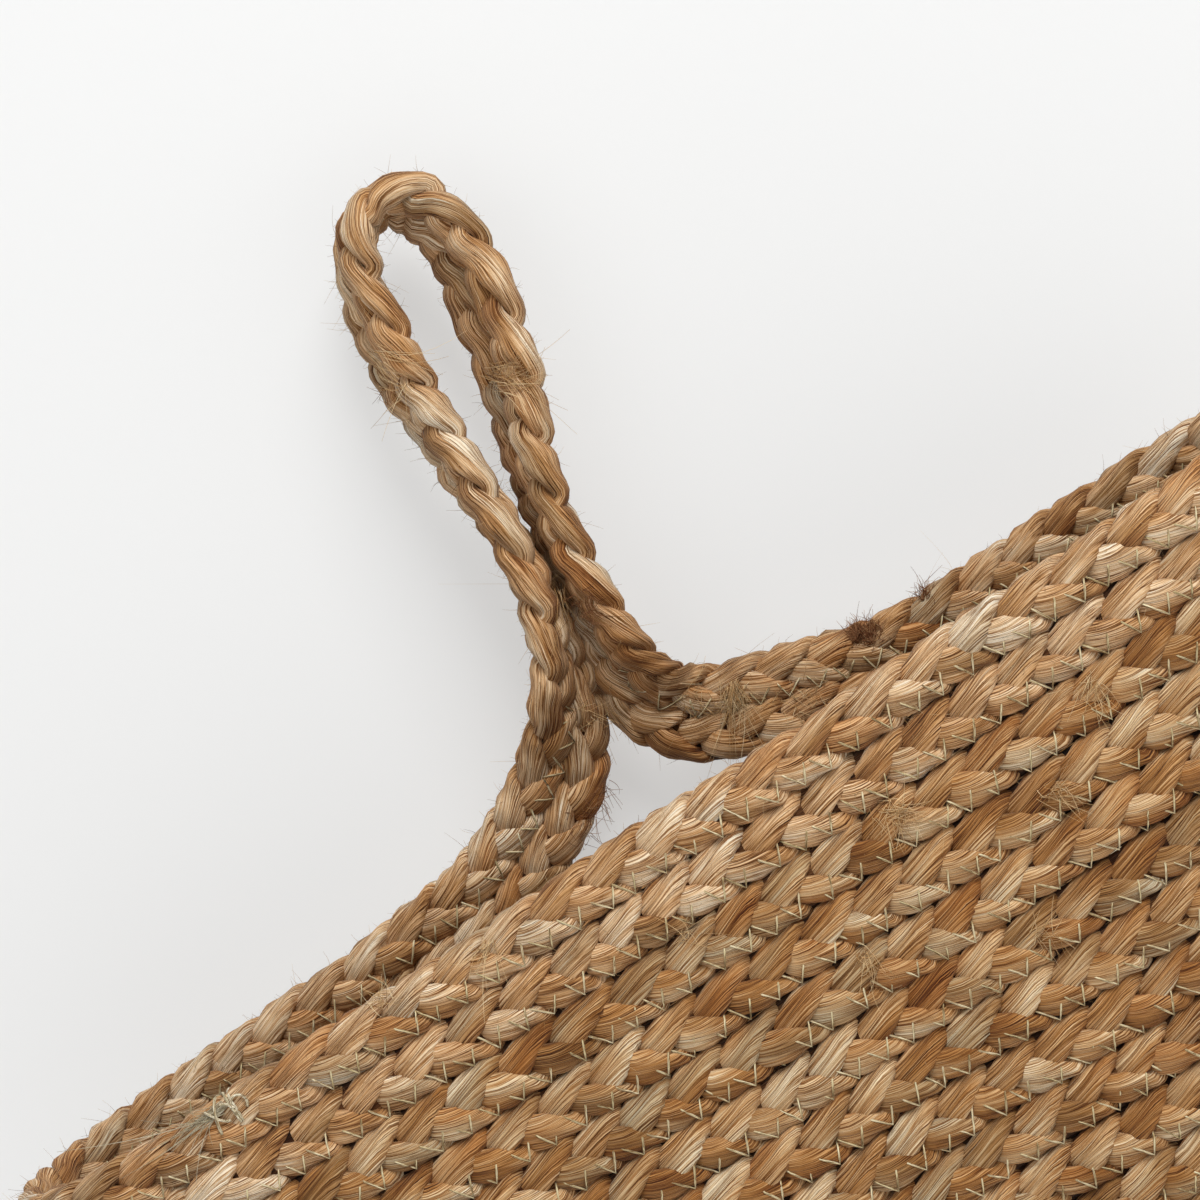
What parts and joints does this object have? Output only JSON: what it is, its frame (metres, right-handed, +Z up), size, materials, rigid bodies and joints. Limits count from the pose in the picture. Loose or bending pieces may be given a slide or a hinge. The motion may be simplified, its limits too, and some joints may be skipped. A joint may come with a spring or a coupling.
{
  "type": "wall basket",
  "caption": "Oval hanging basket of flat braid coiled and sewn edge to edge, with an open top and a braided loop rising from the back rim to hang it by.",
  "frame": {"origin": "the middle of the flat underside, on the surface that the basket stands on", "axes": "+X along the long side, +Y from the room towards the wall, +Z up"},
  "size_m": [0.4366, 0.1285, 0.4099],
  "materials": {
    "jute_braid": "silky natural fibre",
    "sewing_thread": "satin thread",
    "whipping_yarn": "matt yarn"
  },
  "bodies": {
    "basket": {"base_core": "jute_braid", "base_turn_1": "jute_braid", "base_turn_2": "jute_braid", "base_turn_3": "jute_braid", "base_thread_1": "sewing_thread", "base_thread_2": "sewing_thread", "base_thread_3": "sewing_thread", "wall_turn_01": "jute_braid", "wall_turn_02": "jute_braid", "wall_turn_03": "jute_braid", "wall_turn_04": "jute_braid", "wall_turn_05": "jute_braid", "wall_turn_06": "jute_braid", "wall_turn_07": "jute_braid", "wall_turn_08": "jute_braid", "wall_turn_09": "jute_braid", "wall_turn_10": "jute_braid", "wall_turn_11": "jute_braid", "wall_turn_12": "jute_braid", "wall_turn_13": "jute_braid", "wall_turn_14": "jute_braid", "wall_turn_15": "jute_braid", "wall_thread_01": "sewing_thread", "wall_thread_02": "sewing_thread", "wall_thread_03": "sewing_thread", "wall_thread_04": "sewing_thread", "wall_thread_05": "sewing_thread", "wall_thread_06": "sewing_thread", "wall_thread_07": "sewing_thread", "wall_thread_08": "sewing_thread", "wall_thread_09": "sewing_thread", "wall_thread_10": "sewing_thread", "wall_thread_11": "sewing_thread", "wall_thread_12": "sewing_thread", "wall_thread_13": "sewing_thread", "wall_thread_14": "sewing_thread", "tail_whipping": "whipping_yarn"},
    "hanging_loop": {"loop_front_braid": "jute_braid", "loop_rear_braid": "jute_braid", "loop_thread": "sewing_thread"}
  },
  "joints": [
    {"name": "loop_fold", "type": "hinge", "parent": "basket", "child": "hanging_loop", "pos_m": [0, 0.0579, 0.23055], "axis": [1, 0, 0], "range_deg": [-90, 78]}
  ]
}
